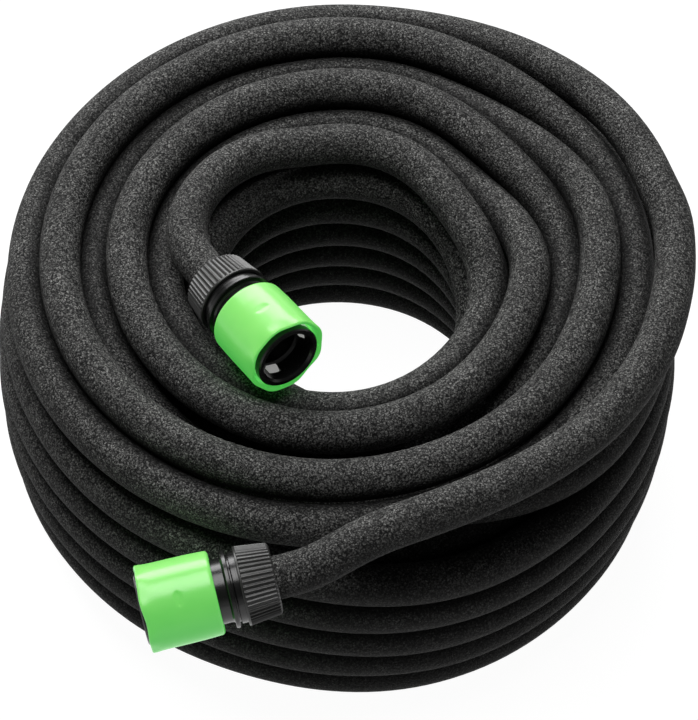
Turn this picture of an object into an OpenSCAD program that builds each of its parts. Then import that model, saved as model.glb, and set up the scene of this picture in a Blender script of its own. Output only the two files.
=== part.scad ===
// Soaker hose: a porous rubber hose in a coil, with a quick-connect fitting on each end.
// The coil stands on z = 0. Its outer layer winds in one unbroken tube: a spiral on top from the
// hole outwards, down the inner wall, along the floor, up the outer wall and back in over the top.

/* [Hose] */
// Outside diameter of the hose
hose_d = 16; // [14:0.5:17]
// Bore of the hose
hose_bore = 12; // [9:0.5:13]
// Gap between neighbouring turns
turn_gap = 0.7; // [0.5:0.1:1.5]

/* [Coil] */
// Radius of the hole's edge, to the centre of the innermost top turn
hole_r = 52; // [48:1:60]
// Number of rows on the inner and the outer wall
wall_rows = 6; // [5:1:7]
// How far the inner wall leans out from its top to its bottom
wall_lean = 22; // [10:1:30]
// Radius of the outer wall at its top and bottom row, to the centre of the hose
wall_r = 125.6; // [122:0.2:135]
// How far the outer wall swells at its middle
wall_swell = 4.4; // [0:0.2:8]
// How far the two innermost top turns are pushed out at the front
front_push = 6.5; // [0:0.5:8]
// How much wider the hole is from side to side than from back to front
hole_wide = 2.7; // [0:0.1:4]
// How much closer the top turns lie at the two sides than at the back
side_squeeze = 1; // [0:0.1:1.6]
// How much the outer wall is drawn in at the two sides
wall_draw = 2; // [0:0.2:4]
// Share of a row by which the outer wall's rows lie under the row grid
row_sink = 0.6; // [0.5:0.05:0.7]
// Angle at which the top turns change height on average, clockwise from the left
swap_at = 150; // [130:5:160]
// How much earlier each further top turn changes height
swap_lag = 10; // [6:1:14]
// Angle that a change of height takes
swap_over = 70; // [60:5:80]
// Extra room between the turns where they change height
swap_room = 0.3; // [0:0.1:1]

/* [Fitting body] */
// How far the flange stands out beyond the thread
flange_lip = 1.2; // [0.8:0.1:1.8]
// Thickness of the flange
flange_t = 1.7; // [1.2:0.1:2.4]
// Thickness of the neck's and the barrel's wall, over the guide bore
barrel_wall = 1.55; // [1.3:0.05:2]
// Length of neck that shows between the flange and the sleeve
neck_len = 4.3; // [4.2:0.1:6]
// How far the shoulder under the spring and the ring in the mouth stay inside the sleeve's bore
shoulder_step = 0.9; // [0.7:0.05:1]
// How far the ring in the mouth stands out of the sleeve
nose_out = 0.8; // [0.2:0.1:2]
// Length of the ring in the mouth
nose_len = 3.4; // [2.8:0.1:3.6]
// How much wider the guide bore behind the mouth is than the socket, on the radius
guide_step = 1.5; // [1.2:0.1:1.8]
// Diameter of the bore that takes the plug
socket_d = 17.7; // [17:0.1:18]
// Length of the bore that takes the plug
socket_len = 14; // [12:0.5:16]
// Diameter of the waterway
waterway_d = 8; // [6:0.5:8.5]
// Thickness of the threaded collar's wall
collar_wall = 2.2; // [1.8:0.1:2.8]
// Length of the threaded collar behind the flange
thread_len = 7; // [6:0.5:7.5]
// Length of the barbed spigot
spigot_len = 11.6; // [10:0.2:11.8]
// Number of barbs on the spigot
barb_count = 4; // [3:1:5]

/* [Sleeve] */
// Thickness of the sleeve's wall
sleeve_wall = 1.9; // [1.5:0.1:2.6]
// Length of the sleeve
sleeve_len = 27; // [27:0.5:30]
// Room between the claws and the sleeve's bore
mouth_room = 0.8; // [0.7:0.05:1.2]
// How far the sleeve draws back
sleeve_travel = 4; // [3:0.1:4.1]
// Running clearance between the sleeve and the shoulder, on the radius
sleeve_play = 0.1; // [0.05:0.05:0.2]
// Number of slots inside the sleeve's mouth
mouth_slots = 12; // [0:2:16]

/* [Claw ring] */
// Number of claws
claw_count = 3; // [3:1:6]
// Turn of the claws about the fitting's axis
claw_turn = 38; // [0:1:60]
// Width of a claw
claw_w = 4.4; // [3:0.2:4.6]
// Thickness of a claw
claw_t = 1.1; // [0.9:0.1:1.3]
// How far the claws' tips stay outside the socket's bore
claw_tip_step = 0.45; // [0.35:0.05:0.8]
// Length of a claw, from its ring to its end
claw_len = 7.2; // [6.6:0.1:7.4]

/* [Spring] */
// Diameter of the spring's wire
wire_d = 0.8; // [0.6:0.1:0.9]
// Number of curls of the spring
spring_curls = 4; // [3:1:4]

/* [Clamp nut] */
// Thickness of the nut over its thread, with the ribs
nut_wall = 1.2; // [1:0.1:2]
// Thickness of the nut's back end over its bore, with the ribs
nut_back_wall = 4.9; // [4.5:0.1:5.6]
// Thickness of the collet
collet_wall = 2.4; // [2:0.1:3]
// Clearance round the collet, on the radius
collet_play = 0.3; // [0.2:0.05:0.4]
// Clearance between the nut's and the collar's thread, on the radius
thread_play = 0.2; // [0.1:0.05:0.3]
// Length of the nut
nut_len = 13; // [12.6:0.1:15]
// Length of thread that shows between the nut and the flange
thread_gap = 3; // [2.5:0.1:3.4]
// Number of ribs on the nut
rib_count = 48; // [36:2:60]
// Height of a rib on the nut
rib_h = 0.55; // [0.3:0.05:0.7]
// Clearance between the hose and the nut's or the collet's bore, on the radius
hose_play = 0.3; // [0.2:0.05:0.4]

/* [Placement] */
// Heading of the inlet fitting, turned from +X about the vertical
inlet_heading = -55; // [-58:1:-52]
// Rise of the inlet fitting's axis towards its mouth
inlet_rise = 7.5; // [7:0.5:9]
// Heading of the outlet fitting
outlet_heading = -167.5; // [-170:0.5:-165]
// Rise of the outlet fitting's axis towards its mouth
outlet_rise = -5.5; // [-6:0.5:-4]

/* [Hidden] */

fine = 96;
black = [0.09, 0.09, 0.09];
rubber = [0.15, 0.15, 0.15];
green = [0.38, 0.86, 0.33];
white = [0.92, 0.92, 0.9];
steel = [0.75, 0.76, 0.78];

// ---- Places of the coil and of the two fittings, in the part's own frame ----
hose_r = hose_d / 2;
pitch = hose_d + turn_gap;
z_floor = 0.4 * hose_d;
z_high = z_floor + (wall_rows + 1) * pitch;
// Foot of the coil's axis
coil_at = wall_r * [-0.0183, 0.133, 0];
// Centre of the flange's rear face of each fitting: over the hole's edge and before the outer wall
inlet_at = coil_at + [-0.706 * hole_r, -0.702 * hole_r, z_high + 0.975 * hose_d];
outlet_at = coil_at + [-0.296 * wall_r, -1.177 * wall_r, z_high - 0.325 * hose_d];

// ---- Route of the hose ----
// An angle runs clockwise seen from above, from 0 at the left, so 90 is the back and 270 the front.
half_row = pitch / 2;
spiral_step = pitch * sqrt(3) / 2;
z_low = z_high - half_row;
wall_h = z_high - z_floor;
// Angles at which the sections of the route end, added up along the hose
a_start = 75;
a_dive = 920;
a_inner = 1020;
a_floor = 720 + 360 * wall_rows;
a_rise = a_floor + 600;
a_back = a_rise + 360 * wall_rows - 30;
a_top = a_rise + 360 * wall_rows + 120;
a_step = 15;
tail_a = 885;

function smooth(x) =
    let (t = min(1, max(0, x)))
    t * t * (3 - 2 * t);
function wrap(a) = a - 360 * floor(a / 360);
function point(a, r, z) = coil_at + [-r * cos(a), r * sin(a), z];

// Top spiral: the turns lie high and low by turns and swap at the back right, the outer ones first
top_gaps = 5;
swap_anchor = 0.65;
function swap_share(a) =
    let (at = swap_at - swap_lag * (floor(a / 360) - top_gaps / 2))
    smooth((wrap(a) - at + swap_over / 2) / swap_over);
function side_share(a) = pow(cos(a), 2);
function top_step(a) = spiral_step - side_squeeze * side_share(a);
function top_drop(a) = sqrt(pitch * pitch - pow(top_step(a), 2));
function front_share(a) = pow(max(0, cos(wrap(a) - 270)), 3);
function top_z(a) =
    let (k = floor(a / 360) + swap_share(a), m = k - 2 * floor(k / 2))
    z_high - top_drop(a) * (1 - abs(1 - m));
// How much further apart turn a and the next one lie than a step, while they change height
function widening(a) =
    let (dz = top_z(a + 360) - top_z(a))
    sqrt(pitch * pitch - dz * dz) - top_step(a) + swap_room * (1 - pow(dz / top_drop(a), 2));
function total(v) = len(v) == 0 ? 0 : v * [for (x = v) 1];
function top_r(a) =
    let (
        turn = floor(a / 360),
        wide = [for (i = [0:top_gaps - 1]) widening(wrap(a) + 360 * i)],
        inside = [for (i = [0:1:turn - 1]) wide[i]],
        pushed = front_push * (1 - smooth((a / 360 - 2) / 0.4))
    )
    hole_r + hole_wide * side_share(a) + top_step(a) * a / 360
        + total(inside) - swap_anchor * total(wide) + front_share(a) * pushed;

// Inner wall: rows one under the other, each with its own height at the back and at the front
function inner_r(z) = hole_r + wall_lean * pow((z_high - z) / wall_h, 1.5);
function back_z(t) = z_high - t * wall_h / wall_rows;
function front_z(t) = z_low - (t + 1) * (z_low - z_floor) / wall_rows;
function inner_z(a) =
    let (b = wrap(a), t = floor((a - 720) / 360))
    back_z(t) + (front_z(t) - back_z(t)) * smooth((b - 110) / 140)
        + (back_z(t + 1) - front_z(t)) * smooth((b - 285) / 75);

// The third top turn dives behind the two inner ones to the inner wall
function dive_r(a) = top_r(a) + (inner_r(front_z(0)) - top_r(a)) * smooth((a - 925) / 95);
function dive_z(a) = top_z(a) + (front_z(0) - top_z(a)) * smooth((a - 917) / 45);

// Floor: one turn beside the foot of the inner wall, then out at a steady rate
function last_row_z(a) =
    back_z(wall_rows - 1)
        + (front_z(wall_rows - 1) - back_z(wall_rows - 1)) * smooth((a - a_floor - 110) / 140);
function floor_shift(a) =
    let (dz = a < a_floor + 250 ? last_row_z(a) - z_floor : 0)
    sqrt(max(0, pitch * pitch - dz * dz));
function floor_r(a) =
    inner_r(z_floor) + floor_shift(a) + pitch * max(0, a - a_floor - 212) / 360;

// Outer wall: rows that climb by one pitch at the front of each turn
function outer_r(a, z) =
    let (s = (z - z_floor - wall_rows * pitch / 2) / ((wall_rows - 1) * pitch / 2))
    wall_r + wall_swell * (1 - s * s) - wall_draw * side_share(a);
function rise_z(a) =
    let (b = wrap(a - a_rise), i = floor((a - a_rise) / 360), up = smooth(b / 60))
    i == 0 && b < 60 ? z_floor + pitch * (1 - row_sink) * up : z_floor + pitch * (i - row_sink + up);
function rise_r(a) =
    let (foot = floor_r(a_rise))
    foot + (outer_r(a, rise_z(a)) - foot) * smooth((a - a_rise) / 110);

// From the top row of the outer wall back in to the fourth top turn
function back_r(a) =
    let (r = outer_r(a, z_floor + (wall_rows - row_sink) * pitch))
    r + (top_r(a - a_top + 1080) - r) * smooth((a - a_back) / 70);
function back_in_z(a) =
    let (z = z_floor + (wall_rows - row_sink) * pitch)
    z + (top_z(a - a_top + 1080) - z) * smooth((a - a_back - 75) / 70);

// Lead: from the inlet fitting to the first top turn
tube_from = -12;
lead_end = point(a_start, top_r(a_start), top_z(a_start));
lead_along = unit(point(a_start + a_step, top_r(a_start + a_step), top_z(a_start + a_step)) - lead_end);
lead_root = along(inlet_at, inlet_heading, inlet_rise, tube_from - hose_d);
lead_span = norm(lead_end - lead_root);
lead_reach = 0.35;
lead_draw = 0.44;
lead_lift = 0.56 * hose_d;
lead_rings = 6;

function unit(v) = v / norm(v);
function axis_of(heading, rise) = [cos(rise) * cos(heading), cos(rise) * sin(heading), sin(rise)];
function along(at, heading, rise, s) = at + s * axis_of(heading, rise);
function bezier(p, q, r, s, t) =
    pow(1 - t, 3) * p + 3 * pow(1 - t, 2) * t * q + 3 * (1 - t) * t * t * r + pow(t, 3) * s;

lead_points = concat(
    [along(inlet_at, inlet_heading, inlet_rise, tube_from)],
    [for (i = [0:lead_rings - 1]) bezier(
        lead_root,
        lead_root - lead_reach * lead_span * axis_of(inlet_heading, inlet_rise),
        lead_end - lead_draw * lead_span * lead_along + [0, 0, lead_lift],
        lead_end,
        i / lead_rings)]
);
coil_points = concat(
    [for (a = [a_start:a_step:a_dive]) point(a, top_r(a), top_z(a))],
    [for (a = [a_dive + a_step - 5:a_step:a_inner - 1]) point(a, dive_r(a), dive_z(a))],
    [for (a = [a_inner:a_step:a_floor + 99]) point(a, inner_r(inner_z(a)), inner_z(a))],
    [for (a = [a_floor + 105:a_step:a_rise - 1]) point(a, floor_r(a), z_floor)],
    [for (a = [a_rise:a_step:a_back - 1]) point(a, rise_r(a), rise_z(a))],
    [for (a = [a_back:a_step:a_top - 1]) point(a, back_r(a), back_in_z(a))],
    [for (a = [0:a_step:tail_a]) point(a + 1080, top_r(a + 1080), top_z(a + 1080))]
);
hose_points = concat(lead_points, coil_points);

// Free stretch to the outlet fitting, chosen by hand: angle, radius as a share of the coil's end
// radius, and height over the high turns in hose diameters
tail_route = [
    [180.4, 0.9931, 0.075],
    [194.7, 0.9836, 0.231],
    [206.8, 0.9811, 0.325],
    [219.4, 0.9766, 0.388],
    [231.3, 0.9671, 0.419],
    [242.2, 0.9644, 0.45],
    [253.7, 0.9714, 0.419],
    [264.4, 1.0016, 0.263],
];
coil_last = coil_points[len(coil_points) - 1];
coil_end_r = top_r(tail_a + 1080);
tail_points = [for (q = tail_route) point(q[0], q[1] * coil_end_r, z_high + q[2] * hose_d)];

// ---- Stations along a fitting's axis, from the rear face of its flange ----
sleeve_back = flange_t + neck_len;
sleeve_front = sleeve_back + sleeve_len;
nose_front = sleeve_front + nose_out;
nose_back = nose_front - nose_len;
shoulder_at = sleeve_back + 1.4;
shoulder_t = 2;
spring_from = shoulder_at + shoulder_t;
spring_len = 9;
rib_at = spring_from + spring_len;
rib_t = 1.6;
claw_ring_at = rib_at + rib_t + 0.1;
claw_ring_t = 1.9;
claw_end = claw_ring_at + claw_ring_t + claw_len;
hook_len = 3;
hook_at = claw_end - hook_len - 0.8;
window_play = 0.5;
seal_end = hook_at - window_play - 0.4;
seal_from = seal_end - socket_len;
socket_r = socket_d / 2;
guide_r = socket_r + guide_step;
barrel_r = guide_r + barrel_wall;
seat_r = barrel_r - 0.8;
claw_play = 0.1;
claw_in_r = barrel_r + claw_play;
claw_out_r = claw_in_r + claw_t;
claw_tip_r = socket_r + claw_tip_step;
mouth_r = claw_out_r + mouth_room;
sleeve_r = mouth_r + sleeve_wall;
shoulder_r = mouth_r - shoulder_step;
nose_r = shoulder_r;
cam_r = claw_out_r + 0.3;
rib_in_r = barrel_r + 0.4;
web_t = 1.2;
hose_stop = -web_t;
barb_r = hose_bore / 2 - 0.05;
spigot_r = barb_r - 0.4;
nut_front = -thread_gap;
nut_back = nut_front - nut_len;
nut_bore_r = hose_r + hose_play;
collet_out_r = nut_bore_r + collet_wall;
collar_in_r = collet_out_r + collet_play;
thread_r = collar_in_r + collar_wall;
flange_r = thread_r + flange_lip;
nut_thread_r = thread_r + thread_play;
nut_r = nut_thread_r + nut_wall;
nut_back_r = nut_bore_r + nut_back_wall;
collet_front = -thread_gap - 1.5;
collet_back = nut_back + 3.4;
collet_tip_r = nut_bore_r + collet_wall / 2;
spring_r = shoulder_r - wire_d / 2;

// ---- Tubes ----
// Direction of the route at point i, as the mean of the runs before and after it
function tangent(p, i) =
    let (n = len(p) - 1)
    i == 0 ? unit(p[1] - p[0]) :
    i == n ? unit(p[n] - p[n - 1]) :
    unit(unit(p[i + 1] - p[i]) + unit(p[i] - p[i - 1]));
function side_of(t) = unit(cross(t, [0, 0, 1]));

// One closed tube of triangles through the points, with a corner of its section at the top
module tube(p, r, sides) {
    n = len(p);
    skin = [
        for (i = [0:n - 1])
            let (t = tangent(p, i), s = side_of(t), u = cross(s, t))
            for (k = [0:sides - 1])
                let (f = 90 + 360 * k / sides)
                p[i] + r * (cos(f) * s + sin(f) * u)
    ];
    walls = [
        for (i = [0:n - 2])
            for (k = [0:sides - 1])
                let (a = i * sides + k, b = i * sides + (k + 1) % sides)
                each [[a, b, a + sides], [b, b + sides, a + sides]]
    ];
    near = [for (k = [1:sides - 2]) [0, k + 1, k]];
    far = [for (k = [1:sides - 2]) [0, k, k + 1] + (n - 1) * sides * [1, 1, 1]];
    polyhedron(skin, concat(walls, near, far));
}

// Least gap between any two stretches of the coil that lie more than a third of a turn apart
function least_gap(p, apart) =
    min([for (i = [0:len(p) - 1]) for (j = [i + apart:1:len(p) - 1]) norm(p[i] - p[j])]) - hose_d;

module at_fitting(at, heading, rise) {
    translate(at)
        rotate([0, 90 - rise, heading])
            children();
}

// ---- Hose ----
module hose_coil() {
    color(rubber)
        difference() {
            tube(hose_points, hose_r, 6);
            translate([0, 0, -hose_d])
                cylinder(h = hose_d, r = 1.5 * wall_r);
        }
}

// The turns inside the coil, as one plain ring that the outer layer lies round
module hose_core() {
    clear = hose_r + 0.4;
    foot = z_floor + clear;
    top = back_z(2) - 0.3;
    in_foot = inner_r(foot) + clear + 1.9;
    in_top = inner_r(top) + clear + 3.7;
    out = wall_r - clear - 1.3;
    bevel = 0.8 * hose_d;
    color(rubber)
        translate(coil_at)
            rotate_extrude($fn = fine)
                polygon([
                    [in_foot, foot], [out - bevel, foot], [out, foot + 0.7 * bevel],
                    [out, top], [in_top, top]
                ]);
}

module hose_tail() {
    route = concat(
        [coil_last + 0.12 * hose_d * unit(tail_points[0] - coil_last)],
        tail_points,
        [along(outlet_at, outlet_heading, outlet_rise, tube_from - hose_d)],
        [along(outlet_at, outlet_heading, outlet_rise, tube_from)]
    );
    color(rubber)
        tube(route, hose_r, 8);
}

// The last piece of hose, pushed over the barbs up to the flange's web
module hose_end() {
    color(rubber)
        rotate_extrude($fn = fine)
            polygon([
                [hose_bore / 2, tube_from], [hose_r, tube_from],
                [hose_r, hose_stop], [hose_bore / 2, hose_stop]
            ]);
}

// ---- Fitting ----
module body() {
    barb = (spigot_len - web_t) / barb_count;
    color(black)
        difference() {
            rotate_extrude($fn = fine)
                polygon(concat(
                    // Spigot, from its end to the web, with barbs that point forward
                    [[waterway_d / 2, -spigot_len]],
                    [for (i = [0:barb_count - 1]) each [
                        [spigot_r, -spigot_len + barb * i],
                        [barb_r, -spigot_len + barb * (i + 0.75)]
                    ]],
                    [[spigot_r, hose_stop], [collar_in_r, hose_stop]],
                    // Threaded collar with plain crests
                    [[collar_in_r, -thread_len], [thread_r - 0.6, -thread_len]],
                    [[thread_r, -thread_len + 0.6], [thread_r, -0.9], [thread_r - 0.8, -0.9]],
                    [[thread_r - 0.8, 0]],
                    // Flange with softened edges
                    [[flange_r - 0.3, 0], [flange_r, 0.3], [flange_r, flange_t - 0.3]],
                    [[flange_r - 0.3, flange_t], [barrel_r + 0.6, flange_t], [barrel_r, flange_t + 0.6]],
                    // Shoulder under the sleeve
                    [[barrel_r, shoulder_at], [shoulder_r, shoulder_at]],
                    [[shoulder_r, spring_from]],
                    // Narrower seat for the spring
                    [[seat_r, spring_from], [seat_r, rib_at], [barrel_r, rib_at + 0.6]],
                    // Ring in the mouth
                    [[barrel_r, nose_back], [nose_r, nose_back + 0.5]],
                    [[nose_r, nose_front - 0.5], [nose_r - 0.5, nose_front]],
                    // Bores, from the mouth back to the spigot's end
                    [[guide_r + 0.7, nose_front], [guide_r, nose_front - 0.9]],
                    [[guide_r, seal_end + 0.6], [socket_r, seal_end]],
                    [[socket_r, seal_from], [waterway_d / 2, seal_from - 3]]
                ));
            for (i = [0:claw_count - 1])
                rotate([0, 0, 360 * (i + 0.5) / claw_count + claw_turn])
                    translate([guide_r - 1, -claw_w / 2 - window_play, hook_at - window_play])
                        cube([barrel_wall + 4, claw_w + 2 * window_play, hook_len + 2 * window_play]);
        }
}

module claw_ring() {
    color(white)
        union() {
            rotate_extrude($fn = fine)
                polygon([
                    [claw_in_r, claw_ring_at], [claw_out_r, claw_ring_at],
                    [claw_out_r, claw_ring_at + claw_ring_t], [claw_in_r, claw_ring_at + claw_ring_t]
                ]);
            for (i = [0:claw_count - 1])
                rotate([0, 0, 360 * (i + 0.5) / claw_count + claw_turn])
                    claw();
        }
}

// One claw: a springy finger over the barrel, with a hook that reaches in through its window
module claw() {
    root = claw_ring_at + claw_ring_t - 0.5;
    intersection() {
        rotate([90, 0, 0])
            linear_extrude(claw_w, center = true)
                polygon([
                    [claw_in_r + 0.1, root], [claw_out_r + 1, root], [claw_out_r + 1, claw_end],
                    [claw_in_r + 0.1, claw_end], [claw_in_r + 0.1, hook_at + hook_len],
                    [claw_tip_r + 0.9, hook_at + hook_len], [claw_tip_r, hook_at + 1.2],
                    [claw_tip_r, hook_at], [claw_in_r + 0.1, hook_at]
                ]);
        cylinder(h = claw_end + 1, r = claw_out_r - 0.1, $fn = fine);
    }
}

module sleeve() {
    r = sleeve_r;
    mid = (sleeve_back + sleeve_front) / 2;
    color(green)
        difference() {
            rotate_extrude($fn = fine)
                polygon(concat(
                    // Outside, with a rounded back edge and a gentle swell
                    [[r - 1.4, sleeve_back]],
                    [for (f = [15:15:75]) [r - 1.4 + 1.1 * sin(f), sleeve_back + 1.1 - 1.1 * cos(f)]],
                    [[r - 0.25, sleeve_back + 1.3], [r, mid], [r + 0.05, sleeve_front - 1.5]],
                    [[r - 0.05, sleeve_front - 0.4], [r - 0.4, sleeve_front]],
                    // Mouth, with a lip that slopes in
                    [[mouth_r + 0.5, sleeve_front], [mouth_r, sleeve_front - 0.8]],
                    [[mouth_r, claw_end - 3.2], [cam_r, claw_end - 3.6], [cam_r, claw_ring_at + 2.2]],
                    [[mouth_r, claw_ring_at + 1.8], [mouth_r, rib_at + rib_t]],
                    // Rib that the spring pushes on
                    [[rib_in_r, rib_at + rib_t], [rib_in_r, rib_at], [mouth_r, rib_at]],
                    // Skirt that runs on the shoulder
                    [[mouth_r, spring_from + 2], [shoulder_r + sleeve_play, spring_from + 1]],
                    [[shoulder_r + sleeve_play, sleeve_back]]
                ));
            for (i = [0:1:mouth_slots - 1])
                rotate([0, 0, 360 * i / mouth_slots])
                    translate([mouth_r - 0.5, -0.45, sleeve_front - 1.6])
                        cube([1.1, 0.9, 1.7]);
        }
    // Thumb mark: a low oval pad on the side
    color(green)
        rotate([0, 0, 35])
            thumb_pad(r);
}

module thumb_pad(r) {
    rise = 0.25;
    mid = (sleeve_back + sleeve_front) / 2;
    intersection() {
        for (s = [-1, 1])
            translate([0, 0, mid])
                rotate([0, 90, 0])
                    translate([0, 1.3 * s, 0])
                        cylinder(h = r + 2, r = 1.1, $fn = 32);
        difference() {
            cylinder(h = nose_front, r = r + rise, $fn = fine);
            translate([0, 0, -1])
                cylinder(h = nose_front + 2, r = r - 0.5, $fn = fine);
        }
    }
}

// Return spring: straight for one wire diameter at each end
module spring() {
    r = spring_r;
    from = spring_from + wire_d / 2 + 0.05;
    rise = (spring_len - wire_d - 0.1) / spring_curls;
    turns = [for (a = [0:45:360 * spring_curls]) [r * cos(a), r * sin(a), from + rise * a / 360]];
    last = len(turns) - 1;
    ends = [
        turns[0] - wire_d * [0, 1, 0],
        turns[last] + wire_d * [0, 1, 0]
    ];
    color(steel)
        tube(concat([ends[0]], turns, [ends[1]]), wire_d / 2, 6);
}

module collet() {
    slot_w = 1.2;
    color(white)
        difference() {
            rotate_extrude($fn = fine)
                polygon([
                    [nut_bore_r, collet_back], [collet_tip_r, collet_back],
                    [collet_out_r, collet_back + 3], [collet_out_r, collet_front - 0.4],
                    [collet_out_r - 0.4, collet_front], [nut_bore_r + 0.4, collet_front],
                    [nut_bore_r, collet_front - 0.4]
                ]);
            for (i = [0:5])
                rotate([0, 0, 60 * i])
                    translate([hose_r - 1, -slot_w / 2, collet_back - 1])
                        cube([collet_wall + 3, slot_w, 5.4]);
        }
}

module nut() {
    front_r = nut_r - rib_h;
    back_r = nut_back_r - rib_h;
    rim = 1;
    cone = atan((front_r - back_r) / (nut_len - rim));
    rib_w = PI * nut_back_r / rib_count;
    color(black)
        union() {
            rotate_extrude($fn = fine)
                polygon([
                    [nut_bore_r, nut_back], [back_r - 0.6, nut_back], [back_r, nut_back + 0.6],
                    [front_r, nut_front - rim], [nut_r - 0.2, nut_front - rim],
                    [nut_r, nut_front - rim + 0.2], [nut_r, nut_front - 0.2],
                    [nut_r - 0.2, nut_front],
                    [nut_thread_r, nut_front], [nut_thread_r, -thread_len - collet_play],
                    [collet_out_r + collet_play, -thread_len - collet_play],
                    [collet_out_r + collet_play, collet_back + 3],
                    [collet_tip_r + collet_play, collet_back - collet_play],
                    [nut_bore_r, collet_back - collet_play]
                ]);
            for (i = [0:rib_count - 1])
                rotate([0, 0, 360 * i / rib_count])
                    translate([front_r - 0.4, -rib_w / 2, nut_front - rim])
                        rotate([0, -cone, 0])
                            mirror([0, 0, 1])
                                cube([rib_h + 0.4, rib_w, nut_len - rim - 0.6]);
        }
}

module at_inlet() {
    at_fitting(inlet_at, inlet_heading, inlet_rise)
        children();
}

module at_outlet() {
    at_fitting(outlet_at, outlet_heading, outlet_rise)
        children();
}

echo(least_gap_of_coil = least_gap(hose_points, 10));

hose_coil();
hose_core();
hose_tail();
at_inlet() body();  // inlet_body
at_inlet() hose_end();  // inlet_hose_end
at_inlet() claw_ring();  // inlet_claw_ring
at_inlet() sleeve();  // inlet_sleeve
at_inlet() spring();  // inlet_spring
at_inlet() collet();  // inlet_collet
at_inlet() nut();  // inlet_nut
at_outlet() body();  // outlet_body
at_outlet() hose_end();  // outlet_hose_end
at_outlet() claw_ring();  // outlet_claw_ring
at_outlet() sleeve();  // outlet_sleeve
at_outlet() spring();  // outlet_spring
at_outlet() collet();  // outlet_collet
at_outlet() nut();  // outlet_nut
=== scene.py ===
import math

import bpy
import numpy as np
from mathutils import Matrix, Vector


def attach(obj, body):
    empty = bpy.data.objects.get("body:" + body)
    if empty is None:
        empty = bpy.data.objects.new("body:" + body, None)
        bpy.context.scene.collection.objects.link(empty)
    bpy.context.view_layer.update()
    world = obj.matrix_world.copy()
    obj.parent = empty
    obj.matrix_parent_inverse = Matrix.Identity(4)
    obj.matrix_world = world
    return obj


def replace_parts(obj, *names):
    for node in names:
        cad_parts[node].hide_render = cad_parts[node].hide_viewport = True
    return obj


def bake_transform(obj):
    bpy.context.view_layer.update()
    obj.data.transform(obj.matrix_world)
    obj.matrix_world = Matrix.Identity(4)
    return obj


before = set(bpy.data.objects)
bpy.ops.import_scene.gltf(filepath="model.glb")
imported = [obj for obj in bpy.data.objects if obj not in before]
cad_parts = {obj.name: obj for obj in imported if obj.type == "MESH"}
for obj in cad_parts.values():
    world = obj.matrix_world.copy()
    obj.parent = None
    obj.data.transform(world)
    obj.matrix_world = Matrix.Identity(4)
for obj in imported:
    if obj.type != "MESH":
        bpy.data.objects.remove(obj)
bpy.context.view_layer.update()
mm = 0.001  # shapes below are worked out in millimetres and made in metres
rootBody = "hose_and_fittings"

# Sizes of the coil in millimetres and degrees, the same as the frame's where it has them
hose = {
    "diameter": 16.0,
    "bore": 12.0,
    "turnGap": 0.7,  # air between two turns that lie side by side
    "holeRadius": 52.0,
    "holeWide": 2.7,  # how much further the hole reaches to the left and right
    "wallRows": 6,
    "wallLean": 22.0,  # how far the inner wall's foot stands out from its top
    "wallRadius": 125.6,
    "wallSwell": 4.4,  # how far the outer wall bulges at half its height
    "wallDraw": 2.0,  # how far it is drawn in at the left and right
    "rowSink": 0.6,  # how far the outer rows lie below whole steps, as a share of one
    "frontPush": 6.5,  # how far the inner top turns stand out at the front
    "frontTurns": 2,  # how many of them, and over what share of a turn it ends
    "frontFade": 0.4,
    "sideSqueeze": 1.0,  # how much closer the top turns lie at the left and right
    "swapAt": 150.0,  # where high and low turns change places, each one earlier than the last
    "swapLag": 10.0,
    "swapOver": 70.0,
    "swapRoom": 0.3,  # air where they cross
    "swapAnchor": 0.65,  # how much of the crossings' room goes inwards
    "outerNip": 1.3,  # how far the outer top turns are pulled in
    "sides": 32,  # faces round the hose
    "ringStep": 4.6,  # distance between two rings of the tube
    "unevenness": 0.16,  # how far the wall swells and thins
    "creaseGap": 1.3,  # how wide the strip of painted shade between two turns is, and how far it fades
    "creaseReach": 6.5,
    "ownReach": 2.5,  # how many diameters along the hose are its own stretch, which paints no crease shade on it
    "nearPoints": 48,  # how many points on the other turns are looked at
    "plainEnd": 60.0,  # how far its ends stay free of swells
    "rimRound": 0.6,  # how far the rims of its cut ends are rounded
}
pitch = hose["diameter"] + hose["turnGap"]
zFloor = 0.4 * hose["diameter"]
zHigh = zFloor + (hose["wallRows"] + 1) * pitch
coilAt = hose["wallRadius"] * np.array([-0.0183, 0.133, 0])


def fittingAt(spread, turn, lift):
    # a place from a distance, how many of it lie to the right and to the back, and its height over the high turns
    return coilAt + np.array([spread * turn[0], spread * turn[1], zHigh + lift * hose["diameter"]])


# Where each fitting sits: rear face of its flange, heading and rise of its axis, roll of its sleeve's mark
fittings = {
    "inlet": {
        "at": fittingAt(hose["holeRadius"], (-0.706, -0.702), 0.975),
        "heading": -55.0,
        "rise": 7.5,
        "mark": 182.0,
    },
    "outlet": {
        "at": fittingAt(hose["wallRadius"], (-0.296, -1.177), -0.325),
        "heading": -167.5,
        "rise": -5.5,
        "mark": 152.0,
    },
}

# Stations along a fitting's axis, from the rear face of its flange towards the mouth
stations = {
    "nutBack": -16.0,
    "tubeFrom": -12.0,
    "spigotEnd": -11.6,
    "nutFront": -3.0,
    "hoseStop": -1.2,
    "sleeveBack": 6.0,
    "springFrom": 9.4,
    "ribAt": 18.4,
    "clawRing": 20.1,
    "clawEnd": 29.2,
    "sleeveFront": 33.0,
}


# Small maths
def smooth(x):
    t = np.clip(x, 0, 1)
    return t * t * (3 - 2 * t)


def wrap(a):
    return a - 360 * np.floor(a / 360)


def cosd(a):
    return np.cos(np.radians(a))


def sind(a):
    return np.sin(np.radians(a))


def unit(v):
    return v / np.linalg.norm(v, axis=-1, keepdims=True)


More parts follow.
